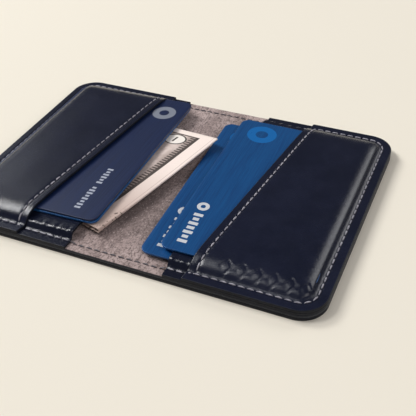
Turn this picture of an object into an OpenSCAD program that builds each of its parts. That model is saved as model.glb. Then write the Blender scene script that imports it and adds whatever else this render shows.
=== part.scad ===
// Vertical bifold card wallet, lying open with its contents in place.
// Frame: +X across the open wallet, +Y along the spine, +Z up. The origin is on
// the resting surface, at the centre of the open cover. The two covers are the
// same design turned by 180 degrees about Z, and each is drawn as the right one.

/* [Cover] */
// Width of the open cover, across the spine
open_w = 145; // [140:1:152]
// Length of the cover along the spine
cover_h = 105; // [102:1:110]
// Radius of the four outer corners
corner_r = 9.5; // [6:0.5:12]
// Distance between the two fold lines of the spine
spine_w = 15; // [14.6:0.2:18]
// Thickness of the outer shell leather
shell_t = 1.4; // [1:0.1:1.6]
// Thickness of the suede lining
lining_t = 1.2; // [0.8:0.1:1.4]

/* [Pockets] */
// Reach of an inner panel from the outer edge
panel_reach = 54; // [52:0.5:56]
// Thickness of an inner panel
panel_t = 0.9; // [0.7:0.1:1]
// Thickness of a slanted pocket
pocket_t = 1; // [0.7:0.1:1.2]
// Reach of a slanted pocket at its narrow end
pocket_narrow = 34.5; // [30:0.5:38]
// Reach of a slanted pocket at its wide end
pocket_wide = 47; // [42:0.5:48]
// Width of the flat stitched rim
rim_w = 4.2; // [4:0.1:4.2]
// Width of the steep step between the rim and the filled pocket
step_w = 0.8; // [0.7:0.1:0.8]
// Width of the gentler step at the near and far ends of a slanted pocket
end_step_w = 3.6; // [1:0.1:3.8]
// Angle at which the filled pockets rise towards the spine
pile_tilt = 1.5; // [1:0.1:1.6]

/* [Stitching] */
// Distance of the stitch line from the outer edge
stitch_inset = 3.5; // [3:0.1:3.8]
// Distance of the pocket stitch line from the slanted cut
slant_inset = 3; // [2:0.5:4]
// Distance from one stitch to the next
stitch_pitch = 3.1; // [2.6:0.1:4]
// Length of one visible stitch
stitch_len = 2.3; // [1.5:0.1:2.4]
// Width of the thread
thread_w = 0.7; // [0.4:0.1:0.8]
// Height of the thread above the leather
thread_t = 0.3; // [0.2:0.05:0.4]

/* [Contents] */
// Length of a card
card_h = 85.6; // [85.4:0.1:85.8]
// Width of a card
card_w = 53.98; // [53.9:0.02:54.1]
// Thickness of a card
card_t = 0.76; // [0.7:0.02:0.8]
// Corner radius of a card
card_r = 3.18; // [3:0.02:3.5]
// Width of the banknote, which is the length of its folded edge
note_w = 66.3; // [60:0.1:70]
// Width of the banknote once folded in four
note_fold_w = 39; // [34:0.5:40]
// Thickness of the folded banknote
note_t = 0.7; // [0.4:0.1:0.8]
// Height that the far end of the banknote's folded edge curls up
note_curl = 3.6; // [0:0.1:4]

/* [Hidden] */
$fn = 48;

half_w = open_w / 2;
half_h = cover_h / 2;
fold_x = spine_w / 2;
axis_z = shell_t;
base_t = shell_t + lining_t;
fold_gap = 0.15;
slack = 0.2;
rim_z = base_t;
pocket_rim_z = rim_z + panel_t;

// The pile: each layer's underside at pile_s from the outer edge of the cover.
pile_s = 16;
// Distance from the spine centre at which the filled pockets' solids begin.
pile_start_x = 6;
inner_card_z = base_t + 0.45;
panel_z = inner_card_z + card_t + slack;
front_card_z = panel_z + panel_t + slack;
upper_card_z = front_card_z + card_t + slack;
pocket_z_right = front_card_z + card_t + slack;
pocket_z_left = upper_card_z + card_t + slack;

// The straight slanted cut turns by this angle from the spine: the right pocket
// is wide at its near end, and the left one at its far end.
slant_angle = atan((pocket_narrow - pocket_wide) / cover_h);
slant_mid = (pocket_wide + pocket_narrow) / 2;

shell_colour = "#1b2233";
suede_colour = "#a2958f";
panel_colour = "#1d2538";
thread_colour = "#a9acb8";
blue_card_colour = "#1f5f9c";
navy_card_colour = "#27315a";
note_colour = "#d9d2c8";

// ---- helpers ----------------------------------------------------------------

// A right-hand design turned over to the left side.
module on_left() {
    rotate([0, 0, 180]) children();
}

// The outline of the open cover, drawn in by an inset.
module cover_outline(inset = 0) {
    w = half_w - inset;
    h = half_h - inset;
    r = corner_r - inset;
    square([2 * (w - r), 2 * h], center = true);
    square([2 * w, 2 * (h - r)], center = true);
    for (x = [-1, 1], y = [-1, 1])
        translate([x * (w - r), y * (h - r)]) circle(r);
}

// The part of the cover outline between two distances from the spine centre.
module outline_from(x0, x1, inset = 0) {
    intersection() {
        cover_outline(inset);
        translate([x0, -cover_h]) square([x1 - x0, 2 * cover_h]);
    }
}

// Puts its children on the tilted plane that has height z at pile_s.
module on_pile(z) {
    translate([half_w - pile_s, 0, z]) rotate([0, pile_tilt, 0]) children();
}

// A straight-sided fillet of leather cleared away along a fold line, so that
// two stiff pieces can turn by 90 degrees about it.
module fold_groove() {
    reach = lining_t + fold_gap;
    translate([fold_x, half_h + 1, axis_z]) rotate([90, 0, 0])
        linear_extrude(cover_h + 2)
            polygon([[-fold_gap, -shell_t - 1], [fold_gap, -shell_t - 1], [fold_gap, 0],
                [fold_gap + reach, reach], [-fold_gap - reach, reach], [-fold_gap, 0]]);
}

// The lid of a filled pocket: a tilted top that is step_w in from the rim, and
// end_step in from it at the near and far ends.
module pile_lid(z_rim, z_top, end_step) {
    skin = 0.01;
    top_h = half_h - rim_w - end_step;
    intersection() {
        translate([0, 0, z_rim]) linear_extrude(30) intersection() {
            outline_from(pile_start_x, half_w, rim_w + step_w);
            translate([0, -top_h]) square([half_w, 2 * top_h]);
        }
        on_pile(z_top)
            translate([-cover_h, -cover_h, -skin]) cube([2 * cover_h, 2 * cover_h, skin]);
    }
}

// The solid under a filled pocket's skin: a straight-walled foot on the rim, a
// steep step up to z_steep, and from there a gentler end step up to z_top.
module pile_block(z_foot, z_rim, z_steep, z_top) {
    hull() {
        translate([0, 0, z_foot])
            linear_extrude(z_rim - z_foot) outline_from(pile_start_x, half_w, rim_w);
        pile_lid(z_rim, z_steep, step_w);
        pile_lid(z_rim, z_top, end_step_w);
    }
}

// A leather plate stitched flat at its rim and lifted in the middle by the
// contents behind it. The child is its outline.
module lifted_plate(z_rim, z_steep, z_top, t) {
    intersection() {
        difference() {
            union() {
                translate([0, 0, z_rim]) linear_extrude(t) cover_outline();
                pile_block(z_rim, z_rim + t, z_steep + t, z_top + t);
            }
            pile_block(z_rim - 1, z_rim, z_steep, z_top);
        }
        linear_extrude(30) children();
    }
}

// Everything on the outer side of the slanted cut.
module slant_region() {
    translate([half_w - slant_mid, 0]) rotate(slant_angle)
        translate([0, -cover_h]) square([cover_h, 2 * cover_h]);
}

// A straight row of stitches, spaced evenly between two points.
module stitch_row(from, to) {
    run = to - from;
    count = floor(norm(run) / stitch_pitch);
    pitch = norm(run) / count;
    turn = atan2(run[1], run[0]);
    translate(from) rotate(turn)
        for (i = [0 : count - 1])
            translate([(i + 0.5) * pitch - stitch_len / 2, -thread_w / 2, 0])
                cube([stitch_len, thread_w, thread_t]);
}

// Stitches round a quarter circle, each one straight.
module stitch_corner(centre, r, start) {
    count = round(PI * r / 2 / stitch_pitch);
    for (i = [0 : count - 1])
        translate(centre) rotate(start + (i + 0.5) * 90 / count)
            translate([r - thread_w / 2, -stitch_len / 2, 0])
                cube([thread_w, stitch_len, thread_t]);
}

// The two straight stitch rows beside the near and far edges, from x0 to x1.
module end_rows(x0, x1) {
    for (side = [-1, 1])
        stitch_row([x0, side * (half_h - stitch_inset)], [x1, side * (half_h - stitch_inset)]);
}

// Reach of the slanted pocket's cut at a height y, as a distance from the centre.
function cut_x(y) = half_w - slant_mid - y * tan(slant_angle);

// A card on the right-hand pile: its left edge's middle is at x, and it is
// turned by an angle in its own plane.
module card_at(z, x, y, turn) {
    on_pile(z) translate([x - half_w + pile_s + card_w / 2, y, 0]) rotate(turn)
        linear_extrude(card_t) card_outline();
}

module card_outline() {
    w = card_w / 2 - card_r;
    h = card_h / 2 - card_r;
    square([2 * w, card_h], center = true);
    square([card_w, 2 * h], center = true);
    for (x = [-1, 1], y = [-1, 1])
        translate([x * w, y * h]) circle(card_r);
}

// ---- covers -----------------------------------------------------------------

module shell_side() {
    color(shell_colour) linear_extrude(shell_t)
        outline_from(fold_x + fold_gap, half_w);
}

module shell_right() {
    shell_side();
}

module shell_left() {
    on_left() shell_side();
}

module shell_spine() {
    color(shell_colour) linear_extrude(shell_t)
        outline_from(-fold_x + fold_gap, fold_x - fold_gap);
}

module lining_side() {
    color(suede_colour) difference() {
        translate([0, 0, shell_t]) linear_extrude(lining_t) outline_from(fold_x, half_w);
        fold_groove();
    }
}

module lining_right() {
    lining_side();
}

module lining_left() {
    on_left() lining_side();
}

module lining_spine() {
    color(suede_colour) difference() {
        translate([0, 0, shell_t]) linear_extrude(lining_t) outline_from(-fold_x, fold_x);
        fold_groove();
        on_left() fold_groove();
    }
}

// ---- pockets ----------------------------------------------------------------

module inner_panel_side() {
    color(panel_colour) lifted_plate(rim_z, panel_z, panel_z, panel_t)
        outline_from(half_w - panel_reach, half_w);
}

module inner_panel_right() {
    inner_panel_side();
}

module inner_panel_left() {
    on_left() inner_panel_side();
}

module slanted_pocket_side(z_top) {
    color(shell_colour) lifted_plate(pocket_rim_z, panel_z + panel_t + 0.05, z_top, pocket_t)
        intersection() {
            cover_outline();
            slant_region();
        }
}

module slanted_pocket_right() {
    slanted_pocket_side(pocket_z_right);
}

module slanted_pocket_left() {
    on_left() slanted_pocket_side(pocket_z_left);
}

// ---- stitching --------------------------------------------------------------

// The edge stitching of one cover. It lies on the slanted pocket, then on the
// inner panel, then on the lining, each one layer lower.
module edge_stitching_side() {
    y = half_h - stitch_inset;
    x_end = half_w - corner_r;
    r = corner_r - stitch_inset;
    z_pocket = pocket_rim_z + pocket_t;
    panel_x = half_w - panel_reach;
    color(thread_colour) {
        translate([0, 0, z_pocket]) {
            for (side = [-1, 1])
                stitch_row([cut_x(side * y) + 1, side * y], [x_end, side * y]);
            stitch_row([half_w - stitch_inset, -half_h + corner_r],
                [half_w - stitch_inset, half_h - corner_r]);
            stitch_corner([x_end, half_h - corner_r], r, 0);
            stitch_corner([x_end, corner_r - half_h], r, -90);
        }
        translate([0, 0, pocket_rim_z])
            for (side = [-1, 1])
                stitch_row([panel_x + 0.6, side * y], [cut_x(side * y) - 0.6, side * y]);
        translate([0, 0, base_t])
            end_rows(fold_x + lining_t + 0.5, panel_x - 0.5);
    }
}

module edge_stitching_right() {
    edge_stitching_side();
}

module edge_stitching_left() {
    on_left() edge_stitching_side();
}

module edge_stitching_spine() {
    x = fold_x - lining_t - 0.5;
    color(thread_colour) translate([0, 0, base_t]) end_rows(-x, x);
}

// The stitch row beside a slanted cut, on the raised part of the pocket.
module pocket_stitching_side(z_top) {
    reach = half_h - rim_w - end_step_w - 0.8;
    inset = slant_inset / cos(slant_angle);
    color(thread_colour) on_pile(z_top + pocket_t / cos(pile_tilt))
        translate([pile_s - half_w, 0, 0])
            stitch_row([cut_x(-reach) + inset, -reach], [cut_x(reach) + inset, reach]);
}

module pocket_stitching_right() {
    pocket_stitching_side(pocket_z_right);
}

module pocket_stitching_left() {
    on_left() pocket_stitching_side(pocket_z_left);
}

// ---- contents ---------------------------------------------------------------

module card_blue_front() {
    color(blue_card_colour) card_at(front_card_z, 12, 0.2, 1.6);
}

module card_blue_back() {
    color(blue_card_colour) card_at(inner_card_z, 5.6, -2.5, 1.8);
}

module card_navy() {
    color(navy_card_colour) on_left() card_at(upper_card_z, 13.2, -1.6, 0.3);
}

module card_blue_under() {
    color(blue_card_colour) on_left() card_at(front_card_z, 13.1, -1.3, 0.8);
}

// The banknote: it lies at the pile's own tilt inside the left cover's inner
// slot, then ramps up from the slot's mouth to the far end of its folded edge.
// u runs from the folded edge into the slot and v along the folded edge, both
// from 0 to 1.
note_turn = -16;
note_corner = [-11, -42.2];
note_z = base_t + 0.6;
note_inner_x = -48.5;
note_far_reach = 25.8;
note_steps = 12;

// Height of the banknote's underside at x, where its slope past the mouth of
// the slot grows with v.
function note_height(x, v) =
    note_z + (x - note_inner_x) * tan(pile_tilt)
    + note_curl * pow(v, 0.6) * max(0, x + half_w - panel_reach) / note_far_reach;

function note_point(u, v, t) =
    let (x = note_corner[0] - u * note_fold_w * cos(note_turn) - v * note_w * sin(note_turn))
    [x, note_corner[1] - u * note_fold_w * sin(note_turn) + v * note_w * cos(note_turn),
     note_height(x, v) + t];

module banknote() {
    n = note_steps;
    row = n + 1;
    layer = row * row;
    points = [for (t = [0, note_t], i = [0 : n], j = [0 : n]) note_point(i / n, j / n, t)];
    cells = [for (i = [0 : n - 1], j = [0 : n - 1]) i * row + j];
    low = [for (c = cells) each [[c, c + 1, c + row + 1], [c, c + row + 1, c + row]]];
    high = [for (f = low) [f[2] + layer, f[1] + layer, f[0] + layer]];
    rim = concat([for (j = [0 : n - 1]) j], [for (i = [0 : n - 1]) i * row + n],
        [for (j = [n : -1 : 1]) n * row + j], [for (i = [n : -1 : 1]) i * row]);
    walls = [for (k = [0 : len(rim) - 1])
        let (a = rim[k], b = rim[(k + 1) % len(rim)])
        each [[a, a + layer, b + layer], [a, b + layer, b]]];
    color(note_colour) polyhedron(points, concat(low, high, walls));
}

shell_right();
shell_spine();
shell_left();
lining_right();
lining_spine();
lining_left();
inner_panel_right();
inner_panel_left();
slanted_pocket_right();
slanted_pocket_left();
edge_stitching_right();
edge_stitching_spine();
edge_stitching_left();
pocket_stitching_right();
pocket_stitching_left();
card_blue_front();
card_blue_back();
card_navy();
card_blue_under();
banknote();
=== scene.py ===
"""An open bifold card wallet in navy leather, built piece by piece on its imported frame.

Frame: +X across the open wallet, +Y along the spine, +Z up, in metres. Each cover is
drawn as the right one. The left one is the same design turned half round about Z.
Every surface is a numpy grid: a sheet of leather is a plan (where its points lie), a
top height and a low height over that plan, and a rolled wall round its outline.
"""
import math

import bpy
import numpy as np
from mathutils import Matrix, Vector


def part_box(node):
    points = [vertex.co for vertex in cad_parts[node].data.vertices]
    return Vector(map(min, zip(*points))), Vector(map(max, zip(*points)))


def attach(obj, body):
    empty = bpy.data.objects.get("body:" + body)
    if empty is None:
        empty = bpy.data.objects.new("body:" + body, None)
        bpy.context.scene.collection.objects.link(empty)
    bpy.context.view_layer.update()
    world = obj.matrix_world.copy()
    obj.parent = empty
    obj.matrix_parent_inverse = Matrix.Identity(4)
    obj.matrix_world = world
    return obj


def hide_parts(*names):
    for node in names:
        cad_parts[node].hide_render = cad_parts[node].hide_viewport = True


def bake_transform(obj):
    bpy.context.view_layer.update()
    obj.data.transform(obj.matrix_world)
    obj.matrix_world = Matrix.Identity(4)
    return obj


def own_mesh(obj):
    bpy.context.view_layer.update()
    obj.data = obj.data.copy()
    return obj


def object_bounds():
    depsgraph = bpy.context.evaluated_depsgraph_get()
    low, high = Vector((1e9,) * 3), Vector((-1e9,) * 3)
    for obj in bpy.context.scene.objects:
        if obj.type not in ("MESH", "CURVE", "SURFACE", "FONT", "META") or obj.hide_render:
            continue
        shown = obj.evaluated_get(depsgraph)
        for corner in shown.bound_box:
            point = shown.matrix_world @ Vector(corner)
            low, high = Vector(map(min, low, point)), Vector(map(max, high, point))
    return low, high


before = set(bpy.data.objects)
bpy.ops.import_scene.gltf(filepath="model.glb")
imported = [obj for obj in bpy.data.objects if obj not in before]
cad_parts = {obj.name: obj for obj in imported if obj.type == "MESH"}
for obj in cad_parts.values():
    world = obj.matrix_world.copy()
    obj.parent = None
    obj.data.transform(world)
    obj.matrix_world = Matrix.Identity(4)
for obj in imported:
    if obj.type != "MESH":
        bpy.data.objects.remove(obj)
cad_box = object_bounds()
MM = 0.001

# ---- driving dimensions, from the frame -------------------------------------------

HALF_W = cad_box[1][0]
HALF_H = cad_box[1][1]
SHELL_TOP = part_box("shell_right")[1][2]
BASE_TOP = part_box("lining_right")[1][2]
PANEL_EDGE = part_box("inner_panel_right")[0][0]
RIM_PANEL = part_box("slanted_pocket_right")[0][2]
PANEL_T = RIM_PANEL - BASE_TOP
POCKET_T = 1.0 * MM
RIM_POCKET = RIM_PANEL + POCKET_T

CORNER_R = 9.5 * MM
STITCH_INSET = 3.5 * MM
STITCH_PITCH = 3.1 * MM
STITCH_LEN = 2.35 * MM
THREAD_R = 0.27 * MM
STITCH_RINGS = 9
STITCH_SIDES = 8
SLANT_INSET = 3.0 * MM
POCKET_WIDE = 47.0 * MM
POCKET_NARROW = 34.5 * MM
CARD_T = 0.76 * MM
CARD_W = 53.98 * MM
CARD_H = 85.6 * MM
CARD_R = 3.18 * MM
PILE_TILT = math.radians(1.5)
PILE_X = HALF_W - 16.0 * MM
LAYER_GAP = 0.2 * MM

# Underside of each layer of the pile, at PILE_X.
BACK_CARD_Z = BASE_TOP + 0.45 * MM
PANEL_Z = BACK_CARD_Z + CARD_T + LAYER_GAP
FRONT_CARD_Z = PANEL_Z + PANEL_T + LAYER_GAP
UPPER_CARD_Z = FRONT_CARD_Z + CARD_T + LAYER_GAP
POCKET_Z = {1: UPPER_CARD_Z, -1: UPPER_CARD_Z + CARD_T + LAYER_GAP}

RIGHT, LEFT = 1, -1
SIDE_NAME = {RIGHT: "right", LEFT: "left"}
COVER_BODY = {RIGHT: "right_cover", LEFT: "left_cover"}


# ---- numbers and meshes -----------------------------------------------------------

def ease(t):
    """A smooth step: 3 t^2 - 2 t^3, with t held between 0 and 1."""
    t = np.clip(t, 0.0, 1.0)
    return t * t * (3.0 - 2.0 * t)


def bell(t):
    """A bell curve: e to the minus t squared."""
    return np.exp(-np.square(t))


def pile_height(z, x):
    """Height at x of the plane that has height z at PILE_X and rises towards the spine."""
    return z + (PILE_X - x) * math.tan(PILE_TILT)


def cut_x(y):
    """Where the right slanted cut lies at y: a straight line, wide at the near end."""
    mid = HALF_W - 0.5 * (POCKET_WIDE + POCKET_NARROW)
    return mid + y * (POCKET_WIDE - POCKET_NARROW) / (2.0 * HALF_H)


def edge_distance(x, y):
    """Distance inside the rounded outline: that of a rounded box, with its sign turned."""
    dx = np.abs(x) - (HALF_W - CORNER_R)
    dy = np.abs(y) - (HALF_H - CORNER_R)
    outside = np.hypot(np.maximum(dx, 0.0), np.maximum(dy, 0.0))
    return CORNER_R - outside - np.minimum(np.maximum(dx, dy), 0.0)


def mesh_object(name, points, faces, material, uv=None, values=None):
    """Puts a points array and a quads array into a new smooth object at the origin."""
    mesh = bpy.data.meshes.new(name)
    mesh.vertices.add(len(points))
    mesh.vertices.foreach_set("co", np.ascontiguousarray(points, np.float32).ravel())
    faces = np.asarray(faces, np.int32)
    mesh.loops.add(faces.size)
    mesh.loops.foreach_set("vertex_index", faces.ravel())
    mesh.polygons.add(len(faces))
    starts = np.arange(len(faces), dtype=np.int32) * faces.shape[1]
    mesh.polygons.foreach_set("loop_start", starts)
    mesh.polygons.foreach_set("use_smooth", np.ones(len(faces), bool))
    mesh.update(calc_edges=True)
    if uv is not None:
        layer = mesh.uv_layers.new(name="flat")
        layer.data.foreach_set("uv", np.asarray(uv, np.float32)[faces.ravel()].ravel())
    for key, value in (values or {}).items():
        attribute = mesh.attributes.new(key, "FLOAT", "POINT")
        attribute.data.foreach_set("value", np.asarray(value, np.float32))
    mesh.validate()
    obj = bpy.data.objects.new(name, mesh)
    bpy.context.scene.collection.objects.link(obj)
    obj.data.materials.append(material)
    return obj


def grid_faces(rows, columns, first=0, turned=False):
    """Quads of a rows by columns grid whose points are numbered row by row."""
    index = first + np.arange(rows * columns).reshape(rows, columns)
    quads = [index[:-1, :-1], index[:-1, 1:], index[1:, 1:], index[1:, :-1]]
    if turned:
        quads = quads[::-1]
    return np.stack(quads, axis=-1).reshape(-1, 4)


def outline_loop(rows, columns):
    """The numbers of a grid's outermost points, anticlockwise seen from above."""
    index = np.arange(rows * columns).reshape(rows, columns)
    return np.concatenate([index[0, :-1], index[:-1, -1], index[-1, :0:-1], index[:0:-1, 0]])


def sheet_solid(name, plan, top, low, material, roll=0.3 * MM, rings=6, side=RIGHT,
                square_inner=False):
    """A closed sheet. plan is (rows, columns, 2), drawn in by roll from the outline. top
    and low are heights over it. The wall bulges out by roll times cos(a)^0.5 while its
    height goes from top to low as sin(a)^0.6, so the edge is flat with rounded corners.
    square_inner keeps the first column's wall upright, to meet another half."""
    rows, columns = top.shape
    flat = plan.reshape(-1, 2)
    loop = outline_loop(rows, columns)
    inner = (loop % columns == 0) & square_inner
    ring = flat[loop]
    along = np.roll(ring, -1, axis=0) - np.roll(ring, 1, axis=0)
    out = np.stack([along[:, 1], -along[:, 0]], axis=1)
    out[:, 0] *= 1.0 - inner
    out /= np.maximum(np.linalg.norm(out, axis=1, keepdims=True), 1e-12)
    out[inner & (loop >= columns) & (loop < (rows - 1) * columns)] = 0.0
    loop_top = top.ravel()[loop]
    loop_low = low.ravel()[loop]
    middle, half = 0.5 * (loop_top + loop_low), 0.5 * (loop_top - loop_low)
    angle = np.linspace(0.5 * math.pi, -0.5 * math.pi, rings + 2)[1:-1]
    walls = []
    for a in angle:
        reach = roll * math.cos(a) ** 0.5
        height = middle + half * math.copysign(abs(math.sin(a)) ** 0.6, a)
        walls.append(np.column_stack([ring + reach * out, height]))
    count = rows * columns
    points = np.vstack([np.column_stack([flat, top.ravel()])] + walls
                       + [np.column_stack([flat, low.ravel()])])
    low_first = count + rings * len(loop)
    chain = [loop] + [count + k * len(loop) + np.arange(len(loop)) for k in range(rings)]
    chain.append(low_first + loop)
    faces = [grid_faces(rows, columns), grid_faces(rows, columns, low_first, turned=True)]
    for upper, lower in zip(chain[:-1], chain[1:]):
        faces.append(np.stack([upper, lower, np.roll(lower, -1), np.roll(upper, -1)], axis=1))
    edge = np.zeros(len(points))
    edge[count:low_first] = 1.0
    points[:, :2] *= side
    obj = mesh_object(name, points, np.vstack(faces), material, values={"edge": edge})
    if square_inner:
        sharpen(obj.data, np.abs(points[:, 0]) < 1e-6)
    return obj


def sharpen(mesh, chosen):
    """Makes the edges between chosen points sharp, so that two halves shade as one."""
    ends = np.empty(len(mesh.edges) * 2, np.int32)
    mesh.edges.foreach_get("vertices", ends)
    sharp = mesh.attributes.new("sharp_edge", "BOOLEAN", "EDGE")
    sharp.data.foreach_set("value", chosen[ends].reshape(-1, 2).all(axis=1))


def graded(start, stop, count, ends=1.0):
    """count values from start to stop, closer together at both ends as ends grows: t plus
    a share of sin(2 pi t)."""
    t = np.linspace(0.0, 1.0, count)
    t = t - ends * np.sin(2.0 * math.pi * t) / (2.0 * math.pi)
    return start + (stop - start) * t


def cover_rows(count, inset):
    """Heights along the spine for a plan's rows. The last rows follow the round corner:
    y = centre + r sin(a), so that the outline's points lie evenly on its arc."""
    r = CORNER_R - inset
    straight = HALF_H - CORNER_R
    arc = np.linspace(0.0, 0.5 * math.pi, 22)[1:]
    middle = graded(-straight, straight, count, 0.55)
    end = straight + r * np.sin(arc)
    return np.concatenate([-end[::-1], middle, end])


def cover_plan(inner_x, rows, columns, inset):
    """The plan of a sheet on the right cover: columns run from inner_x(y) out to the
    rounded outline, which is x = centre + sqrt(r^2 - dy^2) at the corners."""
    y = cover_rows(rows, inset)
    r = CORNER_R - inset
    dy = np.maximum(np.abs(y) - (HALF_H - CORNER_R), 0.0)
    outer = HALF_W - CORNER_R + np.sqrt(np.maximum(r * r - dy * dy, 0.0))
    inner = inner_x(y) + inset
    t = columns[None, :]
    x = inner[:, None] * (1.0 - t) + outer[:, None] * t
    return np.stack([x, np.broadcast_to(y[:, None], x.shape)], axis=-1)


# ---- the stitch lines, shared by thread and leather -------------------------------

def edge_stitches():
    """Centres and directions of the right half's edge stitches, along one path at
    STITCH_INSET inside the outline: from mid-spine at the near edge, round both corners,
    to mid-spine at the far edge."""
    r = CORNER_R - STITCH_INSET
    run = HALF_W - CORNER_R
    rise = 2.0 * (HALF_H - CORNER_R)
    arc = 0.5 * math.pi * r
    total = 2.0 * run + 2.0 * arc + rise
    count = int(round(total / STITCH_PITCH))
    s = (np.arange(count) + 0.5) * total / count
    bottom = -(HALF_H - STITCH_INSET)
    first, second = s - run, s - run - arc
    third, fourth = second - rise, second - rise - arc
    a = np.clip(first, 0, arc) / r
    b = np.clip(third, 0, arc) / r
    x = np.minimum(s, run) + r * np.sin(a) - r * (1.0 - np.cos(b)) - np.clip(fourth, 0, None)
    y = bottom + r * (1.0 - np.cos(a)) + np.clip(second, 0, rise) + r * np.sin(b)
    return np.column_stack([x, y]), a + b


def slant_stitches():
    """Centres and direction of the stitches beside the right slanted cut."""
    reach = HALF_H - STITCH_INSET - 1.0 * MM
    length = 2.0 * reach
    count = int(round(length / STITCH_PITCH))
    y = -reach + (np.arange(count) + 0.5) * length / count
    lean = math.atan2(cut_x(1.0) - cut_x(0.0), 1.0)
    x = cut_x(y) + SLANT_INSET / math.cos(lean)
    return np.column_stack([x, y]), np.full(count, 0.5 * math.pi - lean)


def stitch_dents(x, y, centres, angles):
    """How far thread pulls the leather in: a shallow groove along the row and a deeper
    dent at both ends of each stitch, as bell curves of the distance to them."""
    groove = np.zeros_like(x)
    holes = np.zeros_like(x)
    step = 0.5 * STITCH_PITCH
    near = STITCH_PITCH * 1.6
    for (cx, cy), a in zip(centres, angles):
        row, column = np.nonzero((np.abs(x - cx) < near) & (np.abs(y - cy) < near))
        px, py = x[row, column] - cx, y[row, column] - cy
        u = px * math.cos(a) + py * math.sin(a)
        v = -px * math.sin(a) + py * math.cos(a)
        inside = np.abs(u) <= step * 1.15
        line = np.where(inside, bell(v / (0.75 * MM)), 0.0)
        groove[row, column] = np.maximum(groove[row, column], line)
        for end in (-step, step):
            dent = bell(np.hypot(u - end, v) / (0.55 * MM))
            holes[row, column] = np.maximum(holes[row, column], dent)
    return 0.16 * MM * groove + 0.2 * MM * holes


EDGE_POINTS, EDGE_ANGLES = edge_stitches()
SLANT_POINTS, SLANT_ANGLES = slant_stitches()


# ---- heights of the leather -------------------------------------------------------

def swell(x, y, start, outer_run, end_run):
    """0 on the stitched rim and 1 over the filled middle: one minus a power of what is
    left of the way in, taken from the outer edge and from both ends, and multiplied."""
    from_outer = np.clip((HALF_W - x - start) / outer_run, 0.0, 1.0)
    from_end = np.clip((HALF_H - np.abs(y) - start) / end_run, 0.0, 1.0)
    outer = 1.0 - (1.0 - from_outer) ** 2.6
    end = 1.0 - (1.0 - from_end) ** 2.6
    corner = ease((edge_distance(x, y) - start + 0.5 * MM) / (2.4 * MM))
    return outer * end * corner


def panel_top(x, y):
    """Top of an inner panel: its rim, and the pile's plane where the inner slot is full."""
    lift = pile_height(PANEL_Z, x) - BASE_TOP
    crease = np.sin((x - 0.25 * np.abs(y)) * 1750.0) + 0.6 * np.sin(x * 2900.0 + 1.1)
    near_end = bell((np.abs(y) - 46.2 * MM) / (1.7 * MM))
    body = swell(x, y, 4.2 * MM, 1.5 * MM, 2.4 * MM)
    return RIM_PANEL + lift * body + 0.1 * MM * crease * near_end


def pocket_top(x, y, side):
    """Top of a slanted pocket: its rim, and the pile's plane over the cards, a little
    fuller away from the card's edges."""
    lift = pile_height(POCKET_Z[side], x) - RIM_PANEL
    body = swell(x, y, 4.1 * MM, 6.2 * MM, 9.6 * MM)
    crown = ease((edge_distance(x, y) - 6.0 * MM) / (16.0 * MM)) * 0.35 * MM
    return RIM_POCKET + lift * body + crown


def stack_top(x, y, side):
    """The highest leather at a point of the rim, for the thread that lies on it."""
    on_pocket = x > cut_x(y)
    on_panel = x > PANEL_EDGE
    return np.where(on_pocket, pocket_top(x, y, side),
                    np.where(on_panel, panel_top(x, y), BASE_TOP))


def ornament(x, y):
    """A pressed row of open lozenges with a dot between each pair. A lozenge is where
    |u| / a + |v| / b is near 1, and its line is a bell curve across that."""
    pitch = 5.4 * MM
    count = 6
    u, v = x - 51.6 * MM, y + 44.2 * MM
    inside = np.abs(u) < pitch * count / 2.0
    cell = u - pitch * (np.floor(u / pitch) + 0.5)
    between = u - pitch * np.round(u / pitch)
    lozenge = np.abs(cell) / (2.0 * MM) + np.abs(v) / (2.5 * MM)
    dot = np.hypot(between, v)
    pressed = np.maximum(bell((lozenge - 1.0) / 0.17), bell(dot / (0.5 * MM)))
    return 0.28 * MM * np.where(inside, pressed, 0.0)


# ---- leather and suede pieces -----------------------------------------------------

def finish_piece(obj, nodes, body=None, fold=None):
    """Hides the nodes a piece stands for, and parents it to the body it moves with or, when fold
    is given, bakes its transform in place.
    """
    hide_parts(*nodes)
    if fold is None:
        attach(obj, body)
    else:
        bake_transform(obj)
    return obj


def half_columns(count):
    """Columns from mid-spine to the outer edge, closer together near the outline."""
    t = np.linspace(0.0, 1.0, count)
    return t + 0.35 * t * (1.0 - t)


def base_sheet(name, side, z_low, z_top, low_dents, top_wave, top_dents, material, nodes):
    """One half of a layer that runs under everything, from mid-spine to the outline."""
    roll = 0.32 * MM
    plan = cover_plan(lambda y: np.full_like(y, -roll), 150, half_columns(150), roll)
    x, y = plan[..., 0], plan[..., 1]
    dents = stitch_dents(x, y, EDGE_POINTS, EDGE_ANGLES)
    top = np.full_like(x, z_top) + top_wave(x, y) - top_dents * dents
    low = np.full_like(x, z_low) + low_dents * dents
    obj = sheet_solid(name, plan, top, low, material, roll, side=side, square_inner=True)
    return finish_piece(obj, nodes, fold=side)


def no_wave(x, y):
    """A level surface."""
    return np.zeros_like(x)


def nap_wave(x, y):
    """A slow uneven nap, level where the two halves meet."""
    return 0.06 * MM * np.sin(x * 610.0) * np.sin(y * 430.0 + 0.6)


def make_shell(side, material):
    """Half of the outer leather. Its stitch line is sunk on the underside."""
    nodes = ("shell_" + SIDE_NAME[side], "shell_spine")
    return base_sheet("outer_shell_" + SIDE_NAME[side], side, 0.0, SHELL_TOP, 1.1, no_wave,
                      0.0, material, nodes)


def make_lining(side, material):
    """Half of the suede lining, with its stitch line pulled in."""
    nodes = ("lining_" + SIDE_NAME[side], "lining_spine")
    return base_sheet("suede_lining_" + SIDE_NAME[side], side, SHELL_TOP, BASE_TOP, 0.0,
                      nap_wave, 1.0, material, nodes)


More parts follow.
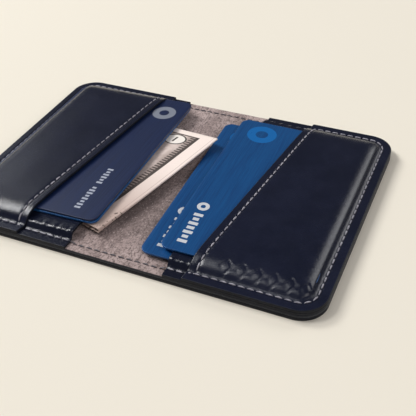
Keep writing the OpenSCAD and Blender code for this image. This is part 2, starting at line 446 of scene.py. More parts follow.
def make_panel(side, material):
    """The inner panel: lifted over the inner slot, with a straight free edge."""
    roll = 0.26 * MM
    plan = cover_plan(lambda y: np.full_like(y, PANEL_EDGE), 190, graded(0, 1, 110, 0.6), roll)
    x, y = plan[..., 0], plan[..., 1]
    top = panel_top(x, y) - stitch_dents(x, y, EDGE_POINTS, EDGE_ANGLES)
    low = panel_top(x, y) - PANEL_T
    obj = sheet_solid("inner_panel_piece_" + SIDE_NAME[side], plan, top, low, material, roll,
                      side=side)
    return finish_piece(obj, ["inner_panel_" + SIDE_NAME[side]],
                        COVER_BODY[side])


def make_pocket(side, material):
    """The slanted pocket: lifted over the cards, with two stitch rows pulled in."""
    roll = 0.3 * MM
    plan = cover_plan(cut_x, 230, graded(0, 1, 124, 0.5), roll)
    x, y = plan[..., 0], plan[..., 1]
    dents = stitch_dents(x, y, EDGE_POINTS, EDGE_ANGLES)
    dents = np.maximum(dents, stitch_dents(x, y, SLANT_POINTS, SLANT_ANGLES))
    body = pocket_top(x, y, side)
    top = body - dents
    if side == RIGHT:
        top = top - ornament(x, y)
    obj = sheet_solid("slanted_pocket_piece_" + SIDE_NAME[side], plan, top, body - POCKET_T,
                      material, roll, side=side)
    return finish_piece(obj, ["slanted_pocket_" + SIDE_NAME[side]],
                        COVER_BODY[side])


# ---- thread -----------------------------------------------------------------------

def stitch_points(centres, angles, height, flatten):
    """Points of many stitches at once. Each is a short tube: along it the middle rises as
    sin(pi t)^0.5 and the radius stays full until its ends, and round it the radius swells
    twice per turn, turned along its length, as two-ply thread does."""
    t = np.linspace(0.0, 1.0, STITCH_RINGS)[:, None]
    a = np.linspace(0.0, 2.0 * math.pi, STITCH_SIDES, endpoint=False)[None, :]
    taper = 0.35 + 0.65 * np.sin(math.pi * t) ** 0.4
    radius = THREAD_R * taper * (1.0 + 0.16 * np.cos(2.0 * a + 9.0 * t))
    along = (t - 0.5) * STITCH_LEN
    across = radius * np.cos(a)
    middle = THREAD_R * (0.75 * np.sin(math.pi * t) ** 0.5 - 0.5)
    up = (radius * np.sin(a) + middle) * flatten
    c, s = np.cos(angles)[:, None, None], np.sin(angles)[:, None, None]
    x = centres[:, 0, None, None] + along * c - across * s
    y = centres[:, 1, None, None] + along * s + across * c
    z = height(x, y, t) + up
    return np.stack([x, y, z], axis=-1)


def stitch_faces(count):
    """Quads of many tubes with closed ends. An end of eight points is three quads."""
    rings, sides = STITCH_RINGS, STITCH_SIDES
    ring = np.arange(sides)
    after = (ring + 1) % sides
    k = np.arange(rings - 1)[:, None] * sides
    wall = np.stack([k + ring, k + after, k + sides + after, k + sides + ring], axis=-1)
    wall = wall.reshape(-1, 4)
    cap = np.array([[7, 2, 1, 0], [7, 6, 3, 2], [6, 5, 4, 3]])
    last = cap[:, ::-1] + (rings - 1) * sides
    one = np.vstack([wall[:, ::-1], cap[:, ::-1], last[:, ::-1]])
    return (one[None] + np.arange(count)[:, None, None] * rings * sides).reshape(-1, 4)


def thread_object(name, parts, material, side):
    """Joins several stitch_points arrays into one object, with each stitch's length in UV."""
    points = np.concatenate([p.reshape(-1, 3) for p in parts])
    count = sum(len(p) for p in parts)
    points[:, :2] *= side
    t = np.linspace(0.0, 1.0, STITCH_RINGS)
    turn = np.arange(STITCH_SIDES) / STITCH_SIDES
    one = np.stack(np.meshgrid(t, turn, indexing="ij"), -1).reshape(-1, 2)
    uv = np.tile(one, (count, 1))
    return mesh_object(name, points, stitch_faces(count), material, uv=uv)


def make_edge_thread(side, material):
    """Half of the stitching round the cover: the row on top, and the row underneath. A
    stitch on top runs straight between the leather's heights at its two ends."""
    step = 0.5 * STITCH_PITCH * np.column_stack([np.cos(EDGE_ANGLES), np.sin(EDGE_ANGLES)])
    start, stop = (stack_top(*(EDGE_POINTS + sign * step).T, side)[:, None, None]
                   for sign in (-1, 1))

    def on_top(x, y, t):
        return start * (1.0 - t) + stop * t + 0.02 * MM

    def underneath(x, y, t):
        return np.full_like(x, 0.16 * MM)

    top = stitch_points(EDGE_POINTS, EDGE_ANGLES, on_top, 0.95)
    low = stitch_points(EDGE_POINTS, EDGE_ANGLES, underneath, 0.35)
    obj = thread_object("edge_thread_" + SIDE_NAME[side], [top, low], material, side)
    nodes = ("edge_stitching_" + SIDE_NAME[side], "edge_stitching_spine")
    return finish_piece(obj, nodes, fold=side)


def make_slant_thread(side, material):
    """The stitch row beside a slanted cut."""

    def on_pocket(x, y, t):
        return pocket_top(x, y, side)

    row = stitch_points(SLANT_POINTS, SLANT_ANGLES, on_pocket, 0.95)
    obj = thread_object("slant_thread_" + SIDE_NAME[side], [row], material, side)
    return finish_piece(obj, ["pocket_stitching_" + SIDE_NAME[side]], COVER_BODY[side])


# ---- cards ------------------------------------------------------------------------

def card_plan(inset, rows=60, columns=40):
    """The plan of a card about its middle: x runs between two edges that follow
    w/2 - r + sqrt(r^2 - dy^2) at the corners."""
    r = CARD_R - inset
    straight = 0.5 * CARD_H - CARD_R
    arc = np.linspace(0.0, 0.5 * math.pi, 10)[1:]
    middle = np.linspace(-straight, straight, rows)
    end = straight + r * np.sin(arc)
    y = np.concatenate([-end[::-1], middle, end])
    dy = np.maximum(np.abs(y) - straight, 0.0)
    reach = 0.5 * CARD_W - CARD_R + np.sqrt(np.maximum(r * r - dy * dy, 0.0))
    x = reach[:, None] * np.linspace(-1.0, 1.0, columns)[None, :]
    return np.stack([x, np.broadcast_to(y[:, None], x.shape)], axis=-1)


def make_card(name, node, body, side, z, x, y, turn, material):
    """A card on the pile: x is its spine-side edge's middle, turn its angle in degrees."""
    roll = 0.12 * MM
    plan = card_plan(roll)
    a = math.radians(turn)
    u, v = plan[..., 0], plan[..., 1]
    px = x + 0.5 * CARD_W + u * math.cos(a) - v * math.sin(a)
    py = y + u * math.sin(a) + v * math.cos(a)
    low = pile_height(z, px)
    obj = sheet_solid(name, np.stack([px, py], -1), low + CARD_T, low, material, roll, side=side)
    points = np.empty(len(obj.data.vertices) * 3, np.float32)
    obj.data.vertices.foreach_get("co", points)
    points = points.reshape(-1, 3)[:, :2] * side - (x + 0.5 * CARD_W, y)
    flat = np.column_stack([points[:, 0] * math.cos(a) + points[:, 1] * math.sin(a),
                            -points[:, 0] * math.sin(a) + points[:, 1] * math.cos(a)])
    index = np.empty(len(obj.data.loops), np.int32)
    obj.data.loops.foreach_get("vertex_index", index)
    layer = obj.data.uv_layers.new(name="flat")
    layer.data.foreach_set("uv", (flat * side / MM)[index].astype(np.float32).ravel())
    return finish_piece(obj, [node], body)


# ---- the banknote -----------------------------------------------------------------

NOTE_W = 66.3 * MM
NOTE_FOLD_W = 39.0 * MM
NOTE_TURN = math.radians(-16.0)
NOTE_CORNER = (-11.0 * MM, -42.2 * MM)
NOTE_Z = BASE_TOP + 0.95 * MM
NOTE_INNER_X = -48.5 * MM


def note_height(x, v):
    """Height of the note's middle layer: the pile's own tilt inside the slot, then a ramp
    from the slot's mouth whose slope grows as v^0.6 along the folded edge."""
    past_mouth = np.maximum(0.0, x + PANEL_EDGE)
    return NOTE_Z + (x - NOTE_INNER_X) * math.tan(PILE_TILT) + 3.6 * v ** 0.6 * past_mouth / 25.8


def thick_surface(name, points, thickness, material, uv):
    """A closed sheet from a curved grid: each side is the grid moved half the thickness
    along its normal, which is the cross product of its two gradients."""
    rows, columns = points.shape[:2]
    normal = np.cross(np.gradient(points, axis=1), np.gradient(points, axis=0))
    normal /= np.linalg.norm(normal, axis=-1, keepdims=True)
    upper = points + 0.5 * thickness * normal
    lower = points - 0.5 * thickness * normal
    loop = outline_loop(rows, columns)
    count = rows * columns
    rim = np.stack([loop, loop + count, np.roll(loop, -1) + count, np.roll(loop, -1)], axis=1)
    faces = np.vstack([grid_faces(rows, columns), grid_faces(rows, columns, count, turned=True),
                       rim])
    both = np.vstack([upper.reshape(-1, 3), lower.reshape(-1, 3)])
    flat = np.tile(uv.reshape(-1, 2), (2, 1))
    return mesh_object(name, both, faces, material, uv=flat)


def make_note_leaf(name, gap, recess, near, curl, material):
    """One leaf of the folded note, as a sheet that runs in along the top, round the fold
    and back underneath. gap is half the distance between its two layers, recess how far
    its fold lies behind the outermost one, and curl how its near end lifts."""
    q = np.linspace(-1.0, 1.0, 121)[None, :]
    v = np.linspace(0.0, 1.0, 90)[:, None]
    inward = (NOTE_FOLD_W - recess) * np.maximum(np.abs(q) - 0.06, 0.0) / 0.94 + recess
    fold = np.clip(q / 0.06, -1.0, 1.0)
    x = NOTE_CORNER[0] - inward * math.cos(NOTE_TURN) - v * NOTE_W * math.sin(NOTE_TURN)
    y = NOTE_CORNER[1] - inward * math.sin(NOTE_TURN) + v * NOTE_W * math.cos(NOTE_TURN)
    y = y + near * (1.0 - v)
    bulge = gap * (1.0 - np.abs(fold))
    x = x + bulge * math.cos(NOTE_TURN)
    z = note_height(x, v) + gap * np.sin(0.5 * math.pi * fold)
    z = z + curl * (1.0 - v) ** 7 * np.maximum(fold, 0.0)
    points = np.stack(np.broadcast_arrays(x, y, z), axis=-1)
    uv = np.stack(np.broadcast_arrays(inward * np.sign(q) / MM, v * NOTE_W / MM), axis=-1)
    obj = thick_surface(name, points, 0.11 * MM, material, uv)
    finish_piece(obj, ["banknote"], "folded_note")
    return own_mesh(obj)


# ---- shader building --------------------------------------------------------------

def put(tree, kind, inputs=None, **settings):
    """Adds a node, sets its properties, and fills its inputs by name or number with
    values or with other nodes' sockets."""
    node = tree.nodes.new(kind)
    for key, value in settings.items():
        setattr(node, key, value)
    for key, value in (inputs or {}).items():
        socket = node.inputs[key]
        if isinstance(value, bpy.types.NodeSocket):
            tree.links.new(value, socket)
        else:
            socket.default_value = value
    return node


def calc(tree, operation, a, b=0.0):
    """A Math node's result."""
    return put(tree, "ShaderNodeMath", {0: a, 1: b}, operation=operation).outputs[0]


def vector(tree, operation, a, b=(0.0, 0.0, 0.0)):
    """A Vector Math node's result."""
    return put(tree, "ShaderNodeVectorMath", {0: a, 1: b}, operation=operation).outputs[0]


def remap(tree, value, low, high, new_low=0.0, new_high=1.0):
    """value carried from low..high to new_low..new_high in a smooth step."""
    inputs = {"Value": value, "From Min": low, "From Max": high, "To Min": new_low,
              "To Max": new_high}
    return put(tree, "ShaderNodeMapRange", inputs, interpolation_type="SMOOTHSTEP").outputs[0]


def blend_colour(tree, factor, a, b):
    """A Mix node's colour: a where factor is 0 and b where it is 1."""
    return put(tree, "ShaderNodeMix", {0: factor, 6: a, 7: b}, data_type="RGBA").outputs[2]


def noise(tree, place, scale, detail=3.0, roughness=0.55):
    """A noise texture's value at place."""
    inputs = {"Vector": place, "Scale": scale, "Detail": detail, "Roughness": roughness}
    return put(tree, "ShaderNodeTexNoise", inputs).outputs[0]


def scaled(tree, place, scale):
    """place times a scale for each axis."""
    return put(tree, "ShaderNodeMapping", {"Vector": place, "Scale": scale}).outputs[0]


def new_group(name, inputs, outputs):
    """A shader group with named sockets. Returns the tree and its two end nodes."""
    tree = bpy.data.node_groups.new(name, "ShaderNodeTree")
    for label, kind, value in inputs:
        socket = tree.interface.new_socket(name=label, in_out="INPUT", socket_type=kind)
        if value is not None:
            socket.default_value = value
    for label, kind in outputs:
        tree.interface.new_socket(name=label, in_out="OUTPUT", socket_type=kind)
    return tree, tree.nodes.new("NodeGroupInput"), tree.nodes.new("NodeGroupOutput")


def use_group(tree, group, inputs):
    """Places a group in a tree with its own values."""
    return put(tree, "ShaderNodeGroup", inputs, node_tree=group)


def new_material(name):
    """A material with a Principled shader. Returns the material, its tree and shader."""
    material = bpy.data.materials.new(name)
    material.use_nodes = True
    tree = material.node_tree
    return material, tree, tree.nodes["Principled BSDF"]


def place_in_mm(tree):
    """Object coordinates in millimetres."""
    place = tree.nodes.new("ShaderNodeTexCoord").outputs["Object"]
    return scaled(tree, place, (1000.0, 1000.0, 1000.0))


def flat_in_mm(tree):
    """The piece's own flat UV, in millimetres."""
    return put(tree, "ShaderNodeUVMap", uv_map="flat").outputs[0]


def bump(tree, height, distance):
    """A Bump node's normal; distance is the height of 1, in metres."""
    inputs = {"Height": height, "Distance": distance, "Strength": 1.0}
    return put(tree, "ShaderNodeBump", inputs).outputs[0]


# ---- shared shader groups ---------------------------------------------------------

def grain_group():
    """Full-grain hide: flat pebbles between fine creases, and slow tone changes.
    Height is 0 to 1, Tone and Polish are slow masks for colour and roughness."""
    tree, start, end = new_group(
        "hide grain",
        [("Place", "NodeSocketVector", None), ("Pebble", "NodeSocketFloat", 1.1),
         ("Crease", "NodeSocketFloat", 0.5)],
        [("Height", "NodeSocketFloat"), ("Tone", "NodeSocketFloat"),
         ("Polish", "NodeSocketFloat")])
    place = start.outputs["Place"]
    pull = put(tree, "ShaderNodeTexNoise", {"Vector": place, "Scale": 0.9, "Detail": 2.0})
    drift = put(tree, "ShaderNodeVectorMath", {0: pull.outputs["Color"], "Scale": 1.1},
                operation="SCALE").outputs[0]
    warped = vector(tree, "ADD", place, drift)
    cells = put(tree, "ShaderNodeTexVoronoi", {"Vector": warped, "Scale": start.outputs["Pebble"]},
                feature="DISTANCE_TO_EDGE").outputs["Distance"]
    pebble = remap(tree, cells, 0.0, 0.22)
    fine = noise(tree, place, 5.0, 4.0, 0.65)
    fold = noise(tree, scaled(tree, warped, (0.35, 1.0, 1.0)), 0.55, 5.0, 0.6)
    crease = remap(tree, calc(tree, "ABSOLUTE", calc(tree, "SUBTRACT", fold, 0.5)), 0.0, 0.05)
    body = calc(tree, "MULTIPLY", pebble, 0.5)
    body = calc(tree, "ADD", body, calc(tree, "MULTIPLY", fine, 0.3))
    sunk = calc(tree, "MULTIPLY", crease, start.outputs["Crease"])
    tree.links.new(calc(tree, "ADD", body, sunk), end.inputs["Height"])
    tree.links.new(remap(tree, noise(tree, place, 0.07, 5.0, 0.6), 0.3, 0.72), end.inputs["Tone"])
    polish = noise(tree, place, 0.22, 4.0, 0.6)
    tree.links.new(remap(tree, polish, 0.25, 0.75), end.inputs["Polish"])
    return tree


def bar_group():
    """A mask that is 1 inside a rounded bar: the distance to a box of the half size,
    less a corner radius, turned into a sharp step."""
    tree, start, end = new_group(
        "printed bar",
        [("Place", "NodeSocketVector", None), ("Middle", "NodeSocketVector", None),
         ("Half Size", "NodeSocketVector", None), ("Corner", "NodeSocketFloat", 0.2)],
        [("Mask", "NodeSocketFloat")])
    away = vector(tree, "SUBTRACT", start.outputs["Place"], start.outputs["Middle"])
    over = vector(tree, "SUBTRACT", vector(tree, "ABSOLUTE", away), start.outputs["Half Size"])
    over = vector(tree, "MULTIPLY", over, (1.0, 1.0, 0.0))
    beyond = put(tree, "ShaderNodeCombineXYZ", {2: 0.0})
    split = put(tree, "ShaderNodeSeparateXYZ", {0: over})
    for axis in (0, 1):
        grown = calc(tree, "ADD", split.outputs[axis], start.outputs["Corner"])
        tree.links.new(calc(tree, "MAXIMUM", grown, 0.0), beyond.inputs[axis])
    length = put(tree, "ShaderNodeVectorMath", {0: beyond.outputs[0]},
                 operation="LENGTH").outputs["Value"]
    reach = calc(tree, "SUBTRACT", length, start.outputs["Corner"])
    tree.links.new(remap(tree, reach, 0.04, -0.04), end.inputs["Mask"])
    return tree


# ---- materials --------------------------------------------------------------------

def navy_leather(name, grain, gloss, deep, light, pebble=1.3, depth=0.028):
    """Dyed full-grain leather. The sheet's own edge attribute marks its painted wall."""
    material, tree, shader = new_material(name)
    place = place_in_mm(tree)
    hide = use_group(tree, grain, {"Place": place, "Pebble": pebble, "Crease": 0.14})
    edge = put(tree, "ShaderNodeAttribute", attribute_name="edge").outputs["Fac"]
    colour = blend_colour(tree, hide.outputs["Tone"], deep, light)
    speck = remap(tree, noise(tree, place, 3.2, 2.0), 0.6, 0.75, 0.0, 0.35)
    colour = blend_colour(tree, speck, colour, (deep[0] * 0.5, deep[1] * 0.5, deep[2] * 0.5, 1.0))
    paint = blend_colour(tree, remap(tree, noise(tree, place, 1.4, 4.0), 0.35, 0.7),
                         (0.004, 0.005, 0.009, 1.0), (0.011, 0.013, 0.02, 1.0))
    colour = blend_colour(tree, edge, colour, paint)
    tree.links.new(colour, shader.inputs["Base Color"])
    rough = remap(tree, hide.outputs["Polish"], 0.0, 1.0, gloss, gloss + 0.05)
    rough = calc(tree, "ADD", rough, calc(tree, "MULTIPLY", edge, 0.3))
    tree.links.new(rough, shader.inputs["Roughness"])
    brushed = noise(tree, scaled(tree, place, (1.0, 1.0, 3.0)), 2.6, 5.0, 0.7)
    relief = put(tree, "ShaderNodeMix", {0: edge, 2: hide.outputs["Height"], 3: brushed},
                 data_type="FLOAT").outputs[0]
    tree.links.new(bump(tree, relief, depth * MM), shader.inputs["Normal"])
    tree.links.new(remap(tree, edge, 0.0, 1.0, 0.42, 0.16), shader.inputs["Specular IOR Level"])
    shader.inputs["Coat Roughness"].default_value = 0.3
    shader.inputs["Coat Weight"].default_value = 0.08
    return material


def suede_split():
    """Split suede: mottled warm grey, with brushed nap strokes, small tufts and a soft
    sheen, and a painted shade over its middle and near part, where the note shadows it."""
    material, tree, shader = new_material("taupe suede")
    place = place_in_mm(tree)
    slow = noise(tree, scaled(tree, place, (1.0, 0.55, 1.0)), 0.11, 4.0, 0.62)
    stroke = noise(tree, scaled(tree, place, (1.0, 0.4, 1.0)), 0.75, 5.0, 0.7)
    fibre = noise(tree, scaled(tree, place, (1.0, 0.55, 1.0)), 4.5, 4.0, 0.75)
    colour = blend_colour(tree, remap(tree, slow, 0.3, 0.68), (0.23, 0.17, 0.16, 1.0),
                          (0.47, 0.365, 0.345, 1.0))
    dark = remap(tree, stroke, 0.52, 0.34, 0.0, 0.85)
    colour = blend_colour(tree, dark, colour, (0.11, 0.08, 0.076, 1.0))
    pale = remap(tree, fibre, 0.55, 0.75, 0.0, 0.4)
    colour = blend_colour(tree, pale, colour, (0.6, 0.485, 0.46, 1.0))
    along = put(tree, "ShaderNodeSeparateXYZ", {0: place}).outputs[1]
    # Painted shade: a band from 12 mm past the middle towards the near end, fading out by 46 mm,
    # darkened as if shadowed by the note and the card piles.
    painted_note_shade = calc(tree, "MULTIPLY", remap(tree, along, 12.0, -14.0, 0.0, 0.6),
                  remap(tree, along, -46.0, -30.0))
    colour = blend_colour(tree, painted_note_shade, colour, (0.085, 0.06, 0.056, 1.0))
    tuft = noise(tree, scaled(tree, place, (1.0, 0.7, 1.0)), 1.5, 3.0, 0.6)
    colour = blend_colour(tree, remap(tree, tuft, 0.5, 0.36, 0.0, 0.7), colour,
                          (0.09, 0.066, 0.062, 1.0))
    colour = blend_colour(tree, remap(tree, tuft, 0.56, 0.7, 0.0, 0.5), colour,
                          (0.6, 0.49, 0.465, 1.0))
    edge = put(tree, "ShaderNodeAttribute", attribute_name="edge").outputs["Fac"]
    colour = blend_colour(tree, edge, colour, (0.012, 0.014, 0.02, 1.0))
    tree.links.new(colour, shader.inputs["Base Color"])
    height = calc(tree, "MULTIPLY", stroke, 0.6)
    height = calc(tree, "ADD", height, calc(tree, "MULTIPLY", fibre, 0.5))
    tree.links.new(bump(tree, height, 0.22 * MM), shader.inputs["Normal"])
    shader.inputs["Roughness"].default_value = 0.95
    shader.inputs["Specular IOR Level"].default_value = 0.2
    shader.inputs["Sheen Weight"].default_value = 0.25
    shader.inputs["Sheen Roughness"].default_value = 0.5
    return material


def waxed_thread(name, pale, dark):
    """Two-ply waxed thread: slanted ply lines along each stitch, with fuzz, and darker
    where it crosses the suede."""
    material, tree, shader = new_material(name)
    split = put(tree, "ShaderNodeSeparateXYZ", {0: flat_in_mm(tree)})
    turn = calc(tree, "ADD", calc(tree, "MULTIPLY", split.outputs[0], 9.0),
                calc(tree, "MULTIPLY", split.outputs[1], 4.0 * math.pi))
    ply = calc(tree, "ABSOLUTE", calc(tree, "SINE", turn))
    fuzz = noise(tree, place_in_mm(tree), 7.0, 3.0)
    colour = blend_colour(tree, remap(tree, ply, 0.0, 0.55), dark, pale)
    colour = blend_colour(tree, remap(tree, fuzz, 0.45, 0.8, 0.0, 0.5), colour, dark)
    wear = remap(tree, noise(tree, place_in_mm(tree), 0.16, 2.0), 0.35, 0.65, 0.0, 0.55)
    colour = blend_colour(tree, wear, colour, dark)
    across = put(tree, "ShaderNodeSeparateXYZ", {0: place_in_mm(tree)}).outputs[0]
    # Darker within about 19 mm of the middle, where the stitches cross the suede.
    darker_on_suede = remap(tree, calc(tree, "ABSOLUTE", across), 19.2, 18.4, 0.0, 0.8)
    colour = blend_colour(tree, darker_on_suede, colour, (0.06, 0.05, 0.055, 1.0))
    tree.links.new(colour, shader.inputs["Base Color"])
    height = calc(tree, "ADD", ply, calc(tree, "MULTIPLY", fuzz, 0.5))
    tree.links.new(bump(tree, height, 0.05 * MM), shader.inputs["Normal"])
    shader.inputs["Roughness"].default_value = 0.55
    return material


def printed(tree, bars, place, middle, half, corner):
    """One printed bar's mask."""
    inputs = {"Place": place, "Middle": (*middle, 0.0), "Half Size": (*half, 0.0),
              "Corner": corner}
    return use_group(tree, bars, inputs).outputs["Mask"]


def either(tree, masks):
    """The greatest of several masks."""
    total = masks[0]
    for mask in masks[1:]:
        total = calc(tree, "MAXIMUM", total, mask)
    return total


def ring_mask(tree, place, middle, outer, inner):
    """A printed ring: 1 where the distance from its middle lies between two radii."""
    away = put(tree, "ShaderNodeVectorMath", {0: place, 1: (*middle, 0.0)}, operation="DISTANCE")
    away = away.outputs["Value"]
    inside = remap(tree, away, outer + 0.05, outer - 0.05)
    return calc(tree, "MULTIPLY", inside, remap(tree, away, inner - 0.05, inner + 0.05))


def card_plastic(name, bars, base, streak, mark, word, badge_at, badge_r, words, dot_at, metal,
                 rough):
    """A printed plastic card: long brushed streaks, a round badge and a row of bars."""
    material, tree, shader = new_material(name)
    flat = flat_in_mm(tree)
    long = noise(tree, scaled(tree, flat, (1.0, 0.018, 1.0)), 2.6, 5.0, 0.75)
    wide = noise(tree, scaled(tree, flat, (1.0, 0.05, 1.0)), 0.22, 2.0)
    colour = blend_colour(tree, remap(tree, long, 0.34, 0.68), base, streak)
    colour = blend_colour(tree, remap(tree, wide, 0.35, 0.7, 0.0, 0.4), colour, streak)
    badge = ring_mask(tree, flat, badge_at, badge_r, badge_r * 0.42)
    colour = blend_colour(tree, badge, colour, mark)
    print_masks = [printed(tree, bars, flat, *w) for w in words]
    if dot_at:
        print_masks.append(ring_mask(tree, flat, dot_at, 2.3, 0.95))
    colour = blend_colour(tree, either(tree, print_masks), colour, word)
    tree.links.new(colour, shader.inputs["Base Color"])
    polish = remap(tree, long, 0.3, 0.7, rough + 0.08, rough - 0.06)
    tree.links.new(polish, shader.inputs["Roughness"])
    tree.links.new(bump(tree, long, 0.006 * MM), shader.inputs["Normal"])
    shader.inputs["Metallic"].default_value = metal
    shader.inputs["Coat Weight"].default_value = 0.25
    shader.inputs["Coat Roughness"].default_value = 0.25
    return material


def note_paper(bars):
    """Banknote paper: a plain margin, a toothed border, an engraved shaded field and an
    oval with an upright stroke, with painted shade towards the near end. u runs in from the fold,
    v along it, in millimetres."""
    material, tree, shader = new_material("banknote paper")
    flat = flat_in_mm(tree)
    split = put(tree, "ShaderNodeSeparateXYZ", {0: flat})
    u, v = split.outputs[0], split.outputs[1]
    place = place_in_mm(tree)
    fibre = noise(tree, place, 1.6, 4.0, 0.7)
    paper = blend_colour(tree, fibre, (0.84, 0.71, 0.64, 1.0), (0.93, 0.82, 0.76, 1.0))
    # Painted shade: paper and print darken towards the note's near end, where it lies low beside
    # the card pile.
    painted_near_end_shade = remap(tree, v, 48.0, 2.0, 0.0, 0.8)
    paper = blend_colour(tree, painted_near_end_shade, paper, (0.4, 0.28, 0.235, 1.0))
    crease = calc(tree, "MULTIPLY", remap(tree, u, 0.9, 1.1), remap(tree, u, 1.5, 1.3))
    paper = blend_colour(tree, calc(tree, "MULTIPLY", crease, 0.4), paper, (0.36, 0.26, 0.24, 1.0))
    stain = remap(tree, noise(tree, flat, 0.55, 2.0, 0.4), 0.56, 0.6)
    stain = calc(tree, "MULTIPLY", stain, remap(tree, v, 15.0, 10.0))
    stain = calc(tree, "MULTIPLY", stain, remap(tree, u, 2.2, 1.4))
    paper = blend_colour(tree, calc(tree, "MULTIPLY", stain, 0.85), paper,
                         (0.05, 0.035, 0.03, 1.0))
    past = remap(tree, u, 6.6, 6.75)
    far = NOTE_W / MM
    end = remap(tree, v, far - 2.6, far - 2.8)
    start = remap(tree, v, 2.6, 2.8)
    field = calc(tree, "MULTIPLY", calc(tree, "MULTIPLY", past, end), start)
    cloud = noise(tree, flat, 0.16, 3.0)
    ink = blend_colour(tree, remap(tree, cloud, 0.35, 0.65), (0.5, 0.4, 0.36, 1.0),
                       (0.74, 0.62, 0.57, 1.0))
    lines = put(tree, "ShaderNodeTexWave", {"Vector": flat, "Scale": 0.9, "Distortion": 1.4,
                "Detail": 1.0, "Detail Scale": 0.6}, bands_direction="DIAGONAL").outputs["Fac"]
    ink = blend_colour(tree, calc(tree, "MULTIPLY", lines, 0.4), ink, (0.4, 0.33, 0.3, 1.0))
    # The same painted shade darkens the print towards the near end.
    ink = blend_colour(tree, calc(tree, "MULTIPLY", painted_near_end_shade, 1.1), ink, (0.25, 0.18, 0.16, 1.0))
    ink = blend_colour(tree, remap(tree, u, 13.0, 7.5, 0.0, 0.6), ink, (0.17, 0.13, 0.12, 1.0))
    colour = blend_colour(tree, field, paper, ink)
    tooth = put(tree, "ShaderNodeTexWave", {"Vector": flat, "Scale": 0.22, "Distortion": 0.0},
                bands_direction="Y").outputs["Fac"]
    teeth = calc(tree, "MULTIPLY", remap(tree, u, 10.9, 10.3), remap(tree, tooth, 0.35, 0.6))
    comb = calc(tree, "MAXIMUM", remap(tree, u, 8.4, 8.1), teeth)
    rail = remap(tree, v, far - 3.5, far - 3.3)
    comb = calc(tree, "MAXIMUM", comb, rail)
    comb = calc(tree, "MULTIPLY", calc(tree, "MULTIPLY", field, comb), 0.9)
    colour = blend_colour(tree, comb, colour, (0.045, 0.036, 0.032, 1.0))
    oval, stretch = (16.3, 59.2), 1.55
    away = put(tree, "ShaderNodeVectorMath", {0: scaled(tree, flat, (1.0, stretch, 1.0)),
               1: (oval[0], stretch * oval[1], 0.0)}, operation="DISTANCE").outputs["Value"]
    colour = blend_colour(tree, remap(tree, away, 5.7, 5.5), colour, (0.05, 0.045, 0.04, 1.0))
    colour = blend_colour(tree, remap(tree, away, 4.9, 4.7), colour, (0.84, 0.78, 0.72, 1.0))
    stroke = printed(tree, bars, flat, oval, (0.5, 1.7), 0.1)
    colour = blend_colour(tree, stroke, colour, (0.07, 0.06, 0.055, 1.0))
    tree.links.new(colour, shader.inputs["Base Color"])
    tree.links.new(bump(tree, fibre, 0.03 * MM), shader.inputs["Normal"])
    shader.inputs["Roughness"].default_value = 0.82
    shader.inputs["Specular IOR Level"].default_value = 0.3
    return material


def floor_paint():
    """Pale cream studio paper."""
    material, tree, shader = new_material("cream paper")
    place = tree.nodes.new("ShaderNodeTexCoord").outputs["Object"]
    colour = blend_colour(tree, noise(tree, place, 3.0, 2.0), (0.8, 0.748, 0.643, 1.0),
                          (0.82, 0.768, 0.663, 1.0))
    tree.links.new(colour, shader.inputs["Base Color"])
    shader.inputs["Roughness"].default_value = 0.9
    shader.inputs["Specular IOR Level"].default_value = 0.1
    return material


# ---- build ------------------------------------------------------------------------

def word_bars(x, y, pitch, halves, half_length):
    """A generic row of printed bars along a card: one for each half width in halves, and
    a space where that is zero."""
    return [((x, y + i * pitch), (half, half_length), 0.15)
            for i, half in enumerate(halves) if half]


def build_wallet():
    """Every leather, suede and thread piece, for both covers."""
    grain = grain_group()
    outer = navy_leather("navy full-grain leather", grain, 0.22, (0.0042, 0.006, 0.0175, 1.0),
                         (0.0078, 0.01, 0.0255, 1.0))
    glazed = navy_leather("glazed navy leather", grain, 0.17, (0.004, 0.0055, 0.0155, 1.0),
                          (0.008, 0.01, 0.022, 1.0), pebble=0.8, depth=0.05)
    suede = suede_split()
    thread = waxed_thread("lilac grey thread", (0.5, 0.48, 0.53, 1.0), (0.13, 0.125, 0.16, 1.0))
    for side in (RIGHT, LEFT):
        make_shell(side, outer)
        make_lining(side, suede)
        make_panel(side, glazed)
        make_pocket(side, outer)
        make_edge_thread(side, thread)
        make_slant_thread(side, thread)


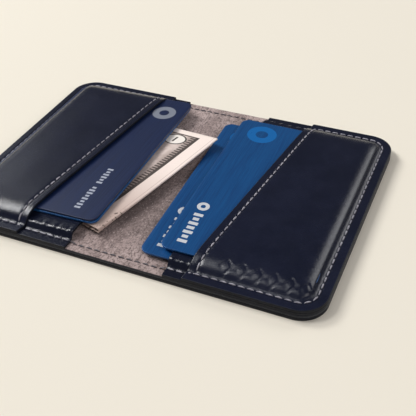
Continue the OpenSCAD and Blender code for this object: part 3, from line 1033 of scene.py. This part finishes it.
def build_contents():
    """The four cards and the folded banknote."""
    bars = bar_group()
    white = (0.8, 0.82, 0.86, 1.0)
    wide = word_bars(-20.6, -37.6, 2.45, (1.75, 1.1, 1.75, 1.4, 1.75, 1.1, 1.75), 0.75)
    small = word_bars(17.2, -37.6, 1.75, (1.2, 1.2, 0.8, 1.2, 0.8, 1.2, 1.2, 0.8, 0.0, 1.2, 0.8,
                                          1.2, 1.2, 0.8, 1.2), 0.5)
    blue = card_plastic("blue brushed card", bars, (0.004, 0.053, 0.195, 1.0),
                        (0.011, 0.108, 0.32, 1.0), (0.008, 0.17, 0.52, 1.0), white,
                        (-16.2, 34.0), 6.0, wide, (-20.8, -17.9), 0.35, 0.33)
    navy = card_plastic("navy card", bars, (0.003, 0.009, 0.04, 1.0), (0.006, 0.017, 0.068, 1.0),
                        (0.2, 0.22, 0.27, 1.0), (0.36, 0.39, 0.47, 1.0), (18.2, 31.9), 5.0,
                        small, None, 0.0, 0.4)
    make_card("front_blue_card", "card_blue_front", "blue_front_card", RIGHT, FRONT_CARD_Z,
              12.0 * MM, 0.2 * MM, 1.6, blue)
    make_card("back_blue_card", "card_blue_back", "blue_back_card", RIGHT, BACK_CARD_Z,
              5.6 * MM, -2.5 * MM, 1.8, blue)
    make_card("top_navy_card", "card_navy", "navy_card", LEFT, UPPER_CARD_Z,
              13.2 * MM, -1.6 * MM, 0.3, navy)
    make_card("under_blue_card", "card_blue_under", "blue_under_card", LEFT, FRONT_CARD_Z,
              13.1 * MM, -1.3 * MM, 0.8, blue)
    paper = note_paper(bars)
    make_note_leaf("note_outer_leaf", 0.33 * MM, 0.0, 0.0, 0.9 * MM, paper)
    make_note_leaf("note_inner_leaf", 0.12 * MM, 0.9 * MM, 0.7 * MM, 0.25 * MM, paper)


def build_stage():
    """The floor, the lights and the camera."""
    mesh = bpy.data.meshes.new("floor")
    s = 3.0
    mesh.from_pydata([(-s, -s, 0), (s, -s, 0), (s, s, 0), (-s, s, 0)], [], [(0, 1, 2, 3)])
    floor = bpy.data.objects.new("floor", mesh)
    bpy.context.scene.collection.objects.link(floor)
    mesh.materials.append(floor_paint())

    world = bpy.data.worlds.new("studio")
    bpy.context.scene.world = world
    world.use_nodes = True
    world.node_tree.nodes["Background"].inputs["Color"].default_value = (0.96, 0.97, 1.0, 1.0)
    world.node_tree.nodes["Background"].inputs["Strength"].default_value = 0.1

    add_light("key softbox", (-1.45, 0.25, 1.25), 0.5, 18.0, (1.0, 0.99, 0.97))
    add_light("left softbox", (-1.0, -0.22, 1.42), 0.4, 11.0, (1.0, 1.0, 1.0))
    add_light("overhead strip", (-0.35, -0.05, 1.5), 0.4, 1.8, (0.96, 0.98, 1.0))
    add_light("left window", (-1.6, 0.95, 0.95), 0.9, 3.0, (0.95, 0.98, 1.0))
    add_light("right fill", (1.2, -0.5, 1.05), 1.1, 10.0, (1.0, 0.97, 0.985))
    add_light("back strip", (0.62, 1.0, 0.75), 0.55, 3.4, (1.0, 1.0, 1.0))

    camera = bpy.data.objects.new("camera", bpy.data.cameras.new("camera"))
    bpy.context.scene.collection.objects.link(camera)
    camera.data.lens = 63.8
    camera.data.sensor_width = 36.0
    camera.data.clip_start = 0.01
    camera.matrix_world = camera_place((0.10638, -0.20578, 0.16945), 24.61, 38.28, 1.96)
    bpy.context.scene.camera = camera
    bpy.context.scene.view_settings.view_transform = "Standard"


def add_light(name, place, size, power, colour):
    """A square soft light that faces the middle of the wallet."""
    light = bpy.data.lights.new(name, "AREA")
    light.shape = "SQUARE"
    light.size = size
    light.energy = power
    light.color = colour
    obj = bpy.data.objects.new(name, light)
    bpy.context.scene.collection.objects.link(obj)
    obj.location = place
    obj.rotation_euler = (-Vector(place)).to_track_quat("-Z", "Y").to_euler()


def camera_place(place, yaw, pitch, roll):
    """A camera's matrix: it looks along +Y turned yaw to the left and pitch down, then is
    rolled. All three in degrees."""
    turn = Matrix.Rotation(math.radians(yaw), 4, "Z")
    tip = Matrix.Rotation(math.radians(90.0 - pitch), 4, "X")
    spin = Matrix.Rotation(math.radians(-roll), 4, "Z")
    return Matrix.Translation(place) @ turn @ tip @ spin


build_wallet()
build_contents()
build_stage()
